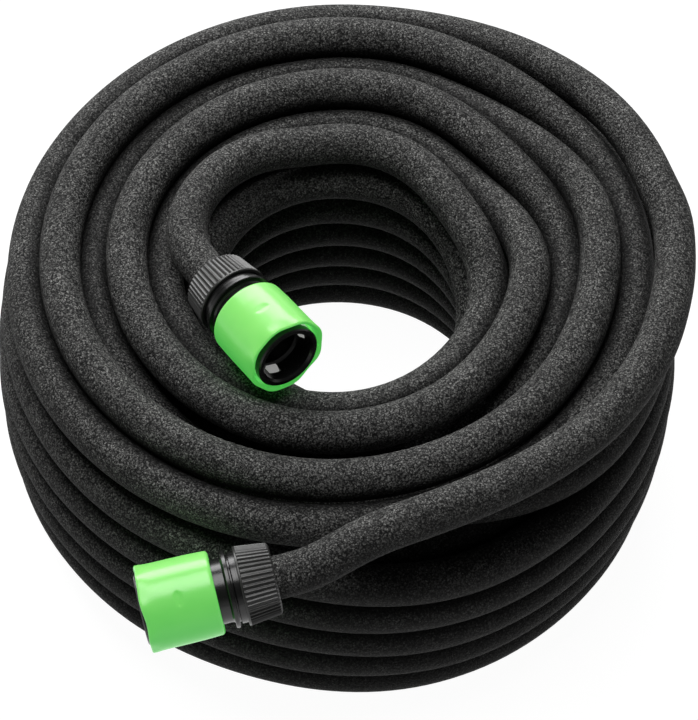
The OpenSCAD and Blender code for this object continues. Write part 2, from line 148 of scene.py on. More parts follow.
def axisOf(name):
    heading, rise = fittings[name]["heading"], fittings[name]["rise"]
    return np.array([cosd(rise) * cosd(heading), cosd(rise) * sind(heading), sind(rise)])


def alongAxis(name, station):
    return np.array(fittings[name]["at"]) + station * axisOf(name)


# Meshes
def meshPiece(name, points, quads, material, body=rootBody, sharp=0, triangles=None):
    # points in millimetres, faces as rows of indices; a piece without a body is left unattached
    mesh = bpy.data.meshes.new(name)
    triangles = np.zeros((0, 3), int) if triangles is None else triangles
    corners = np.concatenate([quads.ravel(), triangles.ravel()]).astype(np.int32)
    sizes = np.concatenate([np.full(len(quads), 4), np.full(len(triangles), 3)]).astype(np.int32)
    mesh.vertices.add(len(points))
    mesh.vertices.foreach_set("co", (np.asarray(points) * mm).astype(np.float32).ravel())
    mesh.loops.add(len(corners))
    mesh.loops.foreach_set("vertex_index", corners)
    mesh.polygons.add(len(sizes))
    mesh.polygons.foreach_set("loop_start", (np.cumsum(sizes) - sizes).astype(np.int32))
    mesh.update(calc_edges=True)
    mesh.validate()
    mesh.shade_smooth()
    if sharp:
        mesh.set_sharp_from_angle(angle=math.radians(sharp))
    piece = bpy.data.objects.new(name, mesh)
    bpy.context.scene.collection.objects.link(piece)
    mesh.materials.append(material)
    if body:
        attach(piece, body)
    return piece


def gridFaces(rows, columns, closeRows=False):
    # quads between neighbouring points of a grid whose columns run round, kept in one array
    i = np.arange(rows if closeRows else rows - 1)
    i, j = np.meshgrid(i, np.arange(columns), indexing="ij")
    nextI, nextJ = (i + 1) % rows, (j + 1) % columns
    corners = [i * columns + j, i * columns + nextJ, nextI * columns + nextJ, nextI * columns + j]
    return np.stack(corners, axis=-1).reshape(-1, 4)


def outwards(points, faces):
    # the order of corners that gives the closed surface a positive volume
    a, b, c, d = (points[faces[:, k]] for k in range(4))
    volume = (np.cross(a, b) * c).sum() + (np.cross(a, c) * d).sum()
    return faces if volume > 0 else faces[:, ::-1]


def circlesOn(line, sides):
    # tangents of a line that never stands upright, angles round it, and each ring's directions square to it
    tangent = unit(np.gradient(line, axis=0))
    side = unit(np.cross(tangent, [0, 0, 1.0]))
    up = np.cross(side, tangent)
    around = np.linspace(0, 2 * np.pi, sides, endpoint=False)
    circle = np.cos(around)[:, None] * side[:, None] + np.sin(around)[:, None] * up[:, None]
    return tangent, around, circle


def cappedTube(rings):
    # points, quads and end triangles of a closed tube: each end is a fan round its ring's middle
    sides = rings.shape[1]
    flat = rings.reshape(-1, 3)
    n, k = len(flat), np.arange(sides)
    nearCap = np.stack([np.full(sides, n), (k + 1) % sides, k], axis=1)
    farCap = np.stack([np.full(sides, n + 1), n - sides + k, n - sides + (k + 1) % sides], axis=1)
    points = np.concatenate([flat, [rings[0].mean(0), rings[-1].mean(0)]])
    return points, gridFaces(len(rings), sides), np.concatenate([nearCap, farCap])


def evenly(line, step):
    # the same line with points at an even distance
    far = np.concatenate([[0], np.cumsum(np.linalg.norm(np.diff(line, axis=0), axis=1))])
    at = np.linspace(0, far[-1], int(round(far[-1] / step)) + 1)
    return np.stack([np.interp(at, far, line[:, k]) for k in range(3)], axis=1)


def relaxed(line, width):
    # the line with its small kinks averaged out, its two ends kept where they are
    reach = int(3 * width)
    weights = np.exp(-0.5 * (np.arange(-reach, reach + 1) / width) ** 2)
    weights /= weights.sum()
    before = 2 * line[:1] - line[reach:0:-1]
    after = 2 * line[-1:] - line[-2 : -reach - 2 : -1]
    padded = np.concatenate([before, line, after])
    return np.stack([np.convolve(padded[:, k], weights, "valid") for k in range(3)], axis=1)


# Camera
camera = {"at": (2.45, -697.0, 1050.4), "down": 54.42, "lens": 150.95, "sensor": 36}
cameraData = bpy.data.cameras.new("camera")
cameraData.lens = camera["lens"]
cameraData.sensor_width = camera["sensor"]
cameraPiece = bpy.data.objects.new("camera", cameraData)
cameraPiece.location = [c * mm for c in camera["at"]]
cameraPiece.rotation_euler = (math.radians(90 - camera["down"]), 0, 0)
bpy.context.scene.collection.objects.link(cameraPiece)
bpy.context.scene.camera = cameraPiece
print("camera set")


# Route of the hose
# Angles run clockwise seen from above, from the left; each stretch gives a radius and a height.
spiralStep = pitch * math.sqrt(3) / 2
zLow = zHigh - pitch / 2
wallHeight = zHigh - zFloor
topGaps = 5  # gaps between the six top turns
aStart, aDive, aInner = 75, 920, 1020  # top turns from the inlet, the way down, the inner wall
aRows = 720  # the turn that the inner rows are counted from
aFloor = aRows + 360 * hose["wallRows"]
aRise = aFloor + 600  # the outer wall's rows
aBack = aRise + 360 * hose["wallRows"] - 30  # the way back to the top
aTop = aRise + 360 * hose["wallRows"] + 120
aOuter = 1080  # the turn of the spiral that the outer top turns go on from
outerOver = 885
floorFrom = (100, 105)  # how far into the floor turns the inner wall ends and the floor begins
floorSpread = 212  # and where the floor turns begin to widen
route = {"step": 3, "straightStep": 2, "freePoints": 8, "relax": 5}

# Where each move of the route begins and how many degrees it takes
moves = {
    "diveOut": (925, 95),
    "diveDown": (917, 45),
    "rowFront": (110, 140),  # an inner row sinks to its height at the front
    "rowNext": (285, 75),  # and on to the next row
    "riseRow": (0, 60),  # an outer row climbs onto the one below
    "riseOut": (0, 110),  # the first one leaves the floor turns
    "backOver": (0, 70),  # from the outer wall in over the top turns
    "backUp": (75, 70),
    "nipIn": (1125, 35),
}

# The outer wall's top row bulges out under the last turn, where it leaves the coil
bulge = {"at": 157, "over": 45, "flat": 1.3, "rowEnds": 40, "out": 3.4, "up": 2.2}


def moved(a, move):
    at, over = moves[move]
    return smooth((a - at) / over)


def place(a, r, z):
    return np.stack([-r * cosd(a), r * sind(a), z + 0 * a], axis=1) + coilAt


def swapShare(a):  # from high to low and back once each turn, the outer turns first
    at = hose["swapAt"] - hose["swapLag"] * (np.floor(a / 360) - topGaps / 2)
    return smooth((wrap(a) - at + hose["swapOver"] / 2) / hose["swapOver"])


def topStep(a):
    return spiralStep - hose["sideSqueeze"] * cosd(a) ** 2


def topDrop(a):
    return np.sqrt(pitch**2 - topStep(a) ** 2)


def topZ(a):  # turns lie high and low by turns
    k = np.floor(a / 360) + swapShare(a)
    m = k - 2 * np.floor(k / 2)
    return zHigh - topDrop(a) * (1 - np.abs(1 - m))


def widening(a):  # how much more than a step two neighbours need where their heights cross
    dz = topZ(a + 360) - topZ(a)
    return np.sqrt(pitch**2 - dz**2) - topStep(a) + hose["swapRoom"] * (1 - (dz / topDrop(a)) ** 2)


def topR(a):  # a spiral whose turns lie just beside each other, the inner ones pushed out at the front
    turn, b = np.floor(a / 360), wrap(a)
    wide = np.stack([widening(b + 360.0 * i) for i in range(topGaps)])
    inside = (wide * (np.arange(topGaps)[:, None] < turn)).sum(0)
    pushed = hose["frontPush"] * (1 - smooth((a / 360 - hose["frontTurns"]) / hose["frontFade"]))
    front = np.maximum(0, cosd(b - 270)) ** 3
    across = hose["holeRadius"] + hose["holeWide"] * cosd(a) ** 2
    return across + topStep(a) * a / 360 + inside - hose["swapAnchor"] * wide.sum(0) + front * pushed


def innerR(z):
    return hose["holeRadius"] + hose["wallLean"] * ((zHigh - z) / wallHeight) ** 1.5


def backZ(t):
    return zHigh - t * wallHeight / hose["wallRows"]


def frontZ(t):
    return zLow - (t + 1) * (zLow - zFloor) / hose["wallRows"]


def innerZ(a):
    b, t = wrap(a), np.floor((a - aRows) / 360)
    toFront = (frontZ(t) - backZ(t)) * moved(b, "rowFront")
    return backZ(t) + toFront + (backZ(t + 1) - frontZ(t)) * moved(b, "rowNext")


def wallR(a):
    return innerR(innerZ(a))


def diveR(a):
    return topR(a) + (innerR(frontZ(0)) - topR(a)) * moved(a, "diveOut")


def diveZ(a):
    return topZ(a) + (frontZ(0) - topZ(a)) * moved(a, "diveDown")


def lastRowZ(a):
    t = hose["wallRows"] - 1
    return backZ(t) + (frontZ(t) - backZ(t)) * moved(a - aFloor, "rowFront")


def floorR(a):  # beside the last inner row until that has come down, then a plain spiral
    dz = np.where(a < aFloor + sum(moves["rowFront"]), lastRowZ(a) - zFloor, 0)
    shift = np.sqrt(np.maximum(0, pitch**2 - dz**2))
    return innerR(zFloor) + shift + pitch * np.maximum(0, a - aFloor - floorSpread) / 360


def floorZ(a):
    return zFloor + 0 * a


def outerR(a, z):
    s = (z - zFloor - hose["wallRows"] * pitch / 2) / ((hose["wallRows"] - 1) * pitch / 2)
    return hose["wallRadius"] + hose["wallSwell"] * (1 - s**2) - hose["wallDraw"] * cosd(a) ** 2


def bulgeShare(a):
    b, i = wrap(a - aRise), np.floor((a - aRise) / 360)
    far = np.abs(wrap(a - bulge["at"] + 180) - 180)
    ends = smooth(b / bulge["rowEnds"]) * smooth((360 - b) / bulge["rowEnds"])
    return np.where(i == hose["wallRows"] - 1, ends * smooth(bulge["flat"] - far / bulge["over"]), 0)


def riseZ(a):
    b, i = wrap(a - aRise), np.floor((a - aRise) / 360)
    up = moved(b, "riseRow")
    steps = np.where((i == 0) & (up < 1), (1 - hose["rowSink"]) * up, i - hose["rowSink"] + up)
    return zFloor + pitch * steps + bulge["up"] * bulgeShare(a)


def riseR(a):
    foot = floorR(np.array([float(aRise)]))[0]
    return foot + (outerR(a, riseZ(a)) + bulge["out"] * bulgeShare(a) - foot) * moved(a - aRise, "riseOut")


backHeight = zFloor + (hose["wallRows"] - hose["rowSink"]) * pitch


def backR(a):
    r = outerR(a, backHeight)
    return r + (topR(a - aTop + aOuter) - r) * moved(a - aBack, "backOver")


def backInZ(a):
    return backHeight + (topZ(a - aTop + aOuter) - backHeight) * moved(a - aBack, "backUp")


def outerTopR(a):
    return topR(a) - hose["outerNip"] * moved(a, "nipIn")


def bezier(p, q, r, s, t):
    t = t[:, None]
    return (1 - t) ** 3 * p + 3 * (1 - t) ** 2 * t * q + 3 * (1 - t) * t**2 * r + t**3 * s


# Lead from the inlet to the coil: how far each end's handle reaches, the angle it looks ahead, and its lift
lead = {"reach": 0.35, "draw": 0.44, "ahead": 15.0, "lift": 0.56 * hose["diameter"], "points": 24}


def leadPart():
    a = np.array([aStart, aStart + lead["ahead"]])
    end, ahead = place(a, topR(a), topZ(a))
    root = alongAxis("inlet", stations["tubeFrom"] - hose["diameter"])
    span = np.linalg.norm(end - root)
    return bezier(
        root,
        root - lead["reach"] * span * axisOf("inlet"),
        end - lead["draw"] * span * unit(ahead - end) + np.array([0, 0, lead["lift"]]),
        end,
        np.arange(0, 1, 1 / lead["points"]),
    )


# Free stretch to the outlet fitting: angle, share of the coil's end radius, height over the high turns
tail = np.array(
    [
        [180.4, 0.9931, 0.075],
        [194.7, 0.9836, 0.231],
        [206.8, 0.9811, 0.325],
        [219.4, 0.9766, 0.388],
        [231.3, 0.9671, 0.419],
        [242.2, 0.9644, 0.45],
        [253.7, 0.9714, 0.419],
        [264.4, 1.0016, 0.263],
    ]
)


def catmullRom(p, steps):
    # a smooth curve through every point, with tangents from the neighbours
    t = np.linspace(0, 1, steps, endpoint=False)[:, None]
    parts = []
    for a, b, c, d in zip(p[:-3], p[1:-2], p[2:-1], p[3:]):
        cubic = (2 * a - 5 * b + 4 * c - d) * t**2 + (3 * b - a - 3 * c + d) * t**3
        parts.append(0.5 * (2 * b + (c - a) * t + cubic))
    return np.concatenate(parts)


def stretch(first, last, radius, height):
    a = np.arange(first, last, route["step"], float)
    return place(a, radius(a), height(a))


def straight(name, first, last):
    step = math.copysign(route["straightStep"], last - first)
    return np.stack([alongAxis(name, s) for s in np.arange(first, last, step)])


def hoseRoute():
    bendFrom = stations["tubeFrom"] - hose["diameter"]
    outer = stretch(aOuter, aOuter + outerOver + 1, outerTopR, topZ)
    endR = topR(np.array([float(aOuter + outerOver)]))
    freePoints = place(tail[:, 0], tail[:, 1] * endR, zHigh + tail[:, 2] * hose["diameter"])
    outletPoints = [alongAxis("outlet", s) for s in (bendFrom, stations["tubeFrom"])]
    parts = [
        straight("inlet", stations["hoseStop"], bendFrom),
        leadPart(),
        stretch(aStart, aDive, topR, topZ),
        stretch(aDive, aInner, diveR, diveZ),
        stretch(aInner, aFloor + floorFrom[0], wallR, innerZ),
        stretch(aFloor + floorFrom[1], aRise, floorR, floorZ),
        stretch(aRise, aBack, riseR, riseZ),
        stretch(aBack, aTop, backR, backInZ),
        outer[:-1],
        catmullRom(np.concatenate([outer[[-11, -1]], freePoints, outletPoints]), route["freePoints"]),
        straight("outlet", bendFrom, stations["hoseStop"] + 0.1),
    ]
    return relaxed(evenly(np.concatenate(parts), 1.0), route["relax"])


hoseLine = hoseRoute()
hoseLength = np.linalg.norm(np.diff(hoseLine, axis=0), axis=1).sum()
print(f"hose route {hoseLength / 1000:.2f} m")


# Materials
def setInput(tree, socket, value):
    # an input is a value or another node's socket
    if isinstance(value, bpy.types.NodeSocket):
        tree.links.new(value, socket)
    else:
        socket.default_value = value


def addNode(tree, kind, inputs=None, **settings):
    made = tree.nodes.new(kind)
    for key, value in settings.items():
        setattr(made, key, value)
    for key, value in (inputs or {}).items():
        setInput(tree, made.inputs[key], value)
    return made


def newGroup(name, ins):
    # a node group with named inputs, and color, height and roughness for its material
    tree = bpy.data.node_groups.new(name, "ShaderNodeTree")
    for socket, kind, value in ins:
        made = tree.interface.new_socket(socket, in_out="INPUT", socket_type="NodeSocket" + kind)
        made.default_value = value
    for socket, kind in (("Color", "Color"), ("Height", "Float"), ("Roughness", "Float")):
        tree.interface.new_socket(socket, in_out="OUTPUT", socket_type="NodeSocket" + kind)
    return tree, tree.nodes.new("NodeGroupInput").outputs, tree.nodes.new("NodeGroupOutput").inputs


def mixColor(tree, factor, a, b, blend="MIX"):
    made = addNode(tree, "ShaderNodeMix", data_type="RGBA", blend_type=blend)
    for index, value in ((0, factor), (6, a), (7, b)):
        setInput(tree, made.inputs[index], value)
    return made.outputs[2]


def mathNode(tree, operation, a, b):
    return addNode(tree, "ShaderNodeMath", {0: a, 1: b}, operation=operation).outputs[0]


def scaled(tree, vector, share):
    made = addNode(tree, "ShaderNodeVectorMath", {0: vector, "Scale": share}, operation="SCALE")
    return made.outputs[0]


def noise(tree, coords, scale, detail, roughness=0.5):
    values = {"Vector": coords, "Scale": scale, "Detail": detail, "Roughness": roughness}
    return addNode(tree, "ShaderNodeTexNoise", values).outputs


def spreadOver(tree, value, low, high, outLow=0.0, outHigh=1.0):
    inputs = {"Value": value, 1: low, 2: high, 3: outLow, 4: outHigh}
    return addNode(tree, "ShaderNodeMapRange", inputs, clamp=True).outputs[0]


noiseRange = (0.3, 0.7)  # nearly all of a noise's values
crumbLook = {
    "bendScale": 900.0,  # the noise that bends the cells' edges, and how far in metres
    "bend": 0.0011,
    "gritScale": 1900.0,
    "gritHeight": 0.8,
    "gritInPits": 2.2,  # how much the grit breaks up the pits, and the heights where they end
    "pits": (0.28, 0.92),
    "shades": (0.45, 1.5),  # darkest and palest cell
    "fleckEdge": 0.1,  # how softly the paler cells are chosen, and the grit that shows them
    "fleckGrit": (0.42, 0.6),
    "patchScale": 60.0,
    "patches": (0.75, 1.25),  # darkest and palest patch
    "roughness": (0.6, 0.9),
}


def crumbGroup():
    # rubber crumbs pressed together: cells with their own shade, dark pits between them, slow patches, and painted
    # shade in the creases between turns
    look = crumbLook
    tree, into, out = newGroup(
        "rubberCrumb",
        [
            ("Crumb Size", "Float", 0.8),
            ("Pit Color", "Color", (0.006, 0.006, 0.006, 1)),
            ("Crumb Color", "Color", (0.128, 0.1275, 0.124, 1)),
            ("Fleck Color", "Color", (0.26, 0.26, 0.25, 1)),
            ("Fleck Share", "Float", 0.2),
            ("Crease Shade", "Float", 0.2),
        ],
    )
    coords = addNode(tree, "ShaderNodeTexCoord").outputs["Object"]
    bent = scaled(tree, noise(tree, coords, look["bendScale"], 2.0)["Color"], look["bend"])
    shifted = addNode(tree, "ShaderNodeVectorMath", {0: coords, 1: bent}, operation="ADD").outputs[0]
    size = mathNode(tree, "DIVIDE", 1000.0, into["Crumb Size"])
    cells = addNode(tree, "ShaderNodeTexVoronoi", {"Vector": shifted, "Scale": size}, feature="F1").outputs
    own = addNode(tree, "ShaderNodeSeparateColor", {"Color": cells["Color"]}).outputs
    grit = noise(tree, coords, look["gritScale"], 3.0, 0.7)["Fac"]
    # the height is a dome over each cell with grit on it, and its low places are the pits
    dome = mathNode(tree, "SUBTRACT", 1.0, cells["Distance"])
    height = mathNode(tree, "ADD", dome, mathNode(tree, "MULTIPLY", grit, look["gritHeight"]))
    coarse = mathNode(tree, "MULTIPLY", mathNode(tree, "SUBTRACT", grit, 0.5), look["gritInPits"])
    pits = spreadOver(tree, mathNode(tree, "ADD", dome, coarse), *look["pits"])
    crumbs = scaled(tree, into["Crumb Color"], spreadOver(tree, own[2], 0.0, 1.0, *look["shades"]))
    base = mixColor(tree, pits, into["Pit Color"], crumbs)
    # a share of the cells is paler, where the grit stands high
    edge = mathNode(tree, "SUBTRACT", 1.0, into["Fleck Share"])
    chosen = spreadOver(tree, mathNode(tree, "SUBTRACT", own[0], edge), 0.0, look["fleckEdge"])
    fleck = mathNode(tree, "MULTIPLY", chosen, spreadOver(tree, grit, *look["fleckGrit"]))
    speckled = mixColor(tree, mathNode(tree, "MULTIPLY", fleck, pits), base, into["Fleck Color"])
    # painted shade: the crumbs are darkened where two turns lie close, standing in for the shade in the creases,
    # and keep their colour on the open side
    creaseLight = addNode(tree, "ShaderNodeAttribute", attribute_name="creaseLight").outputs["Fac"]
    creaseShading = mixColor(tree, creaseLight, into["Crease Shade"], (1, 1, 1, 1))
    creaseShaded = mixColor(tree, 1.0, speckled, creaseShading, "MULTIPLY")
    patches = noise(tree, coords, look["patchScale"], 4.0, 0.6)["Fac"]
    tree.links.new(scaled(tree, creaseShaded, spreadOver(tree, patches, *noiseRange, *look["patches"])), out["Color"])
    tree.links.new(height, out["Height"])
    tree.links.new(spreadOver(tree, grit, *noiseRange, *look["roughness"]), out["Roughness"])
    return tree


mouldedLook = {
    "slowScale": 55.0,  # the noise that changes the shade, and its values from deep to full colour
    "slowRange": (0.35, 0.65),
    "skinScale": 1500.0,
    "skinInGloss": 4.0,  # how much of the skin shows in the gloss
    "dustScale": 900.0,
    "dustRange": (0.6, 0.72),
    "dustColor": (0.6, 0.6, 0.58, 1),
}


def mouldedGroup():
    # moulded plastic: slow shade changes, a fine skin and dust
    look = mouldedLook
    tree, into, out = newGroup(
        "mouldedSkin",
        [
            ("Color", "Color", (0.5, 0.5, 0.5, 1)),
            ("Deep Color", "Color", (0.4, 0.4, 0.4, 1)),
            ("Roughness", "Float", 0.3),
            ("Roughness Change", "Float", 0.08),
            ("Dust", "Float", 0.05),
        ],
    )
    coords = addNode(tree, "ShaderNodeTexCoord").outputs["Object"]
    slow = noise(tree, coords, look["slowScale"], 2.0)["Fac"]
    skin = noise(tree, coords, look["skinScale"], 3.0, 0.6)["Fac"]
    specks = noise(tree, coords, look["dustScale"], 5.0, 0.8)["Fac"]
    color = mixColor(tree, spreadOver(tree, slow, *look["slowRange"]), into["Deep Color"], into["Color"])
    dust = mathNode(tree, "MULTIPLY", spreadOver(tree, specks, *look["dustRange"]), into["Dust"])
    change = mathNode(tree, "MULTIPLY", mathNode(tree, "SUBTRACT", skin, 0.5), into["Roughness Change"])
    rough = mathNode(tree, "ADD", into["Roughness"], mathNode(tree, "MULTIPLY", change, look["skinInGloss"]))
    tree.links.new(mixColor(tree, dust, color, look["dustColor"]), out["Color"])
    tree.links.new(skin, out["Height"])
    tree.links.new(mathNode(tree, "ADD", rough, dust), out["Roughness"])
    return tree


def groupMaterial(name, group, values, bump, fixed):
    # a Principled shader fed by one group, with a bump of the given depth in millimetres
    material = bpy.data.materials.new(name)
    material.use_nodes = True
    tree = material.node_tree
    shader = tree.nodes["Principled BSDF"].inputs
    placed = addNode(tree, "ShaderNodeGroup", node_tree=group)
    for key, value in values.items():
        placed.inputs[key].default_value = value
    skin = placed.outputs
    relief = addNode(tree, "ShaderNodeBump", {"Height": skin["Height"], "Strength": 1.0, "Distance": bump * mm})
    tree.links.new(skin["Color"], shader["Base Color"])
    tree.links.new(skin["Roughness"], shader["Roughness"])
    tree.links.new(relief.outputs[0], shader["Normal"])
    for key, value in fixed.items():
        shader[key].default_value = value
    return material


crumb, moulded = crumbGroup(), mouldedGroup()


def mouldedMaterial(name, color, deep, roughness, change, dust, bump, fixed=None):
    values = {"Color": (*color, 1), "Deep Color": (*deep, 1), "Roughness": roughness, "Dust": dust}
    values["Roughness Change"] = change
    return groupMaterial(name, moulded, values, bump, fixed or {})


# Painted glow: the green and white plastic gets a little light of its own, which lifts its shaded sides; the green
# also passes light on inside by subsurface
greenGlowAndSubsurface = {
    "Subsurface Weight": 0.15,
    "Subsurface Radius": (0.4, 1.0, 0.3),
    "Subsurface Scale": 0.002,
    "Emission Color": (0.11, 0.84, 0.12, 1),
    "Emission Strength": 0.48,
}
whiteGlow = {"Emission Color": (0.8, 0.8, 0.78, 1), "Emission Strength": 0.3}
rubber = groupMaterial("porousRubber", crumb, {}, 0.22, {"Specular IOR Level": 0.14})
greenPlastic = mouldedMaterial(
    "greenPlastic", (0.235, 0.44, 0.13), (0.205, 0.41, 0.115), 0.24, 0.03, 0.01, 0.004, greenGlowAndSubsurface
)
blackPlastic = mouldedMaterial("blackPlastic", (0.009,) * 3, (0.006,) * 3, 0.24, 0.05, 0.02, 0.006)
nutPlastic = mouldedMaterial(
    "nutPlastic", (0.032, 0.032, 0.030), (0.022, 0.022, 0.021), 0.33, 0.06, 0.05, 0.012
)
whitePlastic = mouldedMaterial(
    "whitePlastic", (0.78, 0.78, 0.76), (0.72, 0.72, 0.70), 0.4, 0.04, 0.02, 0.005, whiteGlow
)
springSteel = mouldedMaterial(
    "springSteel", (0.62, 0.62, 0.63), (0.52, 0.52, 0.54), 0.3, 0.08, 0.02, 0.004, {"Metallic": 1.0}
)
print("materials made")


# Hose
def hoseTube():
    # rings square to the route; radius = half the diameter plus slow swells along and round it
    line = evenly(hoseLine, hose["ringStep"])
    radius = hose["diameter"] / 2
    tangent, around, circle = circlesOn(line, hose["sides"])
    far = np.linspace(0, hoseLength, len(line))[:, None]
    swell = np.sin(far / 17 + 2 * around) + np.sin(far / 29 - around + 1.3) + np.sin(far / 11 + 3 * around + 0.4)
    swollen = smooth(far / hose["plainEnd"]) * smooth((hoseLength - far) / hose["plainEnd"])
    r = radius + hose["unevenness"] / 3 * swell * swollen
    skin = line[:, None] + r[..., None] * circle
    skin[..., 2] = np.maximum(skin[..., 2], 0.0)  # the lowest turn rests flat
    # a bore pocket at each end: over the end face, back along the bore, closed by a disc
    bore, deep = hose["bore"] / 2, stations["hoseStop"] - stations["spigotEnd"] + 1
    rim = radius - hose["rimRound"]
    steps = ((rim, 0), (bore, 0), (bore, 0.3), (bore, deep - 0.3), (bore, deep), (0.5, deep))
    near = np.stack([line[0] + tangent[0] * d + r * circle[0] for r, d in steps[::-1]])
    farEnd = np.stack([line[-1] - tangent[-1] * d + r * circle[-1] for r, d in steps])
    return line, np.concatenate([near, skin, farEnd]), len(steps)


def hoseCreaseLight(centres, rings):
    # painted crease shade: 0 where the surface lies close to another turn, 1 where it is far, from its distance to
    # the other turns' line
    between = np.linalg.norm(centres[:, None] - centres[None], axis=2)
    index = np.arange(len(centres))
    own = np.abs(index[:, None] - index[None]) * hose["ringStep"] < hose["ownReach"] * hose["diameter"]
    count = hose["nearPoints"]
    nearest = np.argpartition(np.where(own, 1e9, between), count, axis=1)[:, :count]
    barred = np.where(np.take_along_axis(own, nearest, 1), 1e9, 0.0)
    far = np.linalg.norm(rings[:, :, None] - centres[nearest][:, None], axis=3) + barred[:, None]
    gap = far.min(axis=2) - hose["diameter"] / 2
    return smooth((gap - hose["creaseGap"]) / hose["creaseReach"])


# stores the painted crease shade of each point, 1 where none is painted
def setCreaseLight(piece, values):
    piece.data.attributes.new("creaseLight", "FLOAT", "POINT").data.foreach_set("value", values.astype(np.float32))


hoseCentres, hoseRings, pocketRings = hoseTube()
points, quads, caps = cappedTube(hoseRings)
hosePiece = meshPiece("hose", points, quads, rubber, sharp=50, triangles=caps)
# painted crease shade: none on the bore pockets and end caps, darker on the skin where other turns lie close
creaseLight = np.ones(hoseRings.shape[:2])
skinRings = slice(pocketRings, -pocketRings)
creaseLight[skinRings] = hoseCreaseLight(hoseCentres, hoseRings[skinRings])
setCreaseLight(hosePiece, np.append(creaseLight.ravel(), [1, 1]))
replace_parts(hosePiece, "hose_coil", "hose_tail", "inlet_hose_end", "outlet_hose_end")
print("hose made", len(hoseCentres), "rings")


# Turns inside the coil
inner = {
    "layers": 4,
    "creaseLight": 0.4,  # an even painted shade, between the dark of a crease and the open side
    "clearance": 1.7,  # further off the inner wall, because it leans
    "room": 0.1,  # least air between two turns of a layer
    "stepFrom": 260.0,  # where a turn steps over to the next one
    "stepOver": 50.0,
    "arc": (-15.0, 190.0),  # the highest turns leave room for the hose that dives in and comes back
    "sides": 20,
    "step": 3.0,  # degrees between two points of a route
    "relax": 4,
    "ringStep": 9.0,
    "round": 0.7,  # how far the end faces are rounded
}


def layerRadii(z):
    inside, outside = innerR(z) + pitch + inner["clearance"], outerR(0.0, z) - pitch
    return np.linspace(inside, outside, int((outside - inside) / (hose["diameter"] + inner["room"])) + 1)


def innerRoutes():
    # the highest layer is a few open arcs, the layers below are one hose wound out and in by turns
    level = zHigh - topDrop(0.0) - pitch
    a = np.arange(*inner["arc"], inner["step"])
    routes = [place(a, r + 0 * a, level) for r in layerRadii(level)]
    a = np.arange(0, 360, inner["step"])
    radii = [layerRadii(level - (k + 1) * pitch)[:: 1 - 2 * (k % 2)] for k in range(inner["layers"])]
    wound = []
    for k, own in enumerate(radii):
        for j, r in enumerate(own):
            last = j == len(own) - 1
            sinks = last and k < inner["layers"] - 1
            following = radii[k + 1][0] if sinks else own[min(j + 1, len(own) - 1)]
            share = smooth((a - inner["stepFrom"] - inner["stepOver"] * last) / inner["stepOver"])
            height = level - pitch * (k + 1 + sinks * share)
            wound.append(place(a, r + (following - r) * share, height))
    return [relaxed(evenly(line, 1.0), inner["relax"]) for line in routes + [np.concatenate(wound)]]


def closedTube(line):
    # the last ring at each end is drawn in and closed
    line = evenly(line, inner["ringStep"])
    radius = hose["diameter"] / 2
    tangent, around, circle = circlesOn(line, inner["sides"])
    near = line[0] - 0.5 * tangent[0] + (radius - inner["round"]) * circle[0]
    farEnd = line[-1] + 0.5 * tangent[-1] + (radius - inner["round"]) * circle[-1]
    return cappedTube(np.concatenate([near[None], line[:, None] + radius * circle, farEnd[None]]))


def innerTurns():
    tubes = [closedTube(line) for line in innerRoutes()]
    first = np.cumsum([0] + [len(tube[0]) for tube in tubes])
    points = np.concatenate([tube[0] for tube in tubes])
    quads, caps = (np.concatenate([tube[k] + n for tube, n in zip(tubes, first)]) for k in (1, 2))
    made = meshPiece("inner_turns", points, quads, rubber, sharp=50, triangles=caps)
    # the inner turns get an even painted shade
    setCreaseLight(made, np.full(len(points), inner["creaseLight"]))
    return made


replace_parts(innerTurns(), "hose_core")
print("inner turns made")


# Fittings
def onFitting(name, grid):
    # points on a fitting's own axes, the third one along it, turned and moved to their place
    heading, along = fittings[name]["heading"], axisOf(name)
    across = np.array([-sind(heading), cosd(heading), 0.0])
    p = grid.reshape(-1, 3)
    return alongAxis(name, 0) + p[:, :1] * np.cross(across, along) + p[:, 1:2] * across + p[:, 2:] * along


def lathe(profile, steps, reshape):
    # a closed outline of (station, radius) carried round the axis; reshape changes both by angle
    around = np.linspace(0, 2 * np.pi, steps, endpoint=False)[None, :]
    z, r = (profile[:, k][:, None] + 0 * around for k in (0, 1))
    angle = around + 0 * z
    z, r = reshape(z, r, angle)
    return np.stack([r * np.cos(angle), r * np.sin(angle), z], axis=-1)


def softened(corners, bevel, steps):
    # each corner of a closed outline rounded by a small curve
    p = np.asarray(corners, float)
    before, after = np.roll(p, 1, 0), np.roll(p, -1, 0)
    reach = np.minimum(np.linalg.norm(before - p, axis=1), np.linalg.norm(after - p, axis=1)) * 0.45
    b = np.minimum(bevel, reach)[:, None]
    start, end = p + unit(before - p) * b, p + unit(after - p) * b
    t = np.linspace(0, 1, steps + 1)[None, :, None]
    curve = (1 - t) ** 2 * start[:, None] + 2 * (1 - t) * t * p[:, None] + t**2 * end[:, None]
    return curve.reshape(-1, 2)


def divided(outline, longest):
    # an outline whose long runs get points in between
    made = []
    for a, b in zip(outline, np.roll(outline, -1, 0)):
        n = max(1, int(np.ceil(np.linalg.norm(b - a) / longest)))
        made.append(a + (b - a) * np.linspace(0, 1, n, endpoint=False)[:, None])
    return np.concatenate(made)


def latheWave(a, count):  # 0 to 1 and again, count times round
    return (a * count / (2 * np.pi)) % 1


def fittingPiece(fitting, name, grid, material, body, sharp):
    quads = outwards(grid.reshape(-1, 3), gridFaces(grid.shape[0], grid.shape[1], closeRows=True))
    return meshPiece(f"{fitting}_{name}", onFitting(fitting, grid), quads, material, body, sharp)


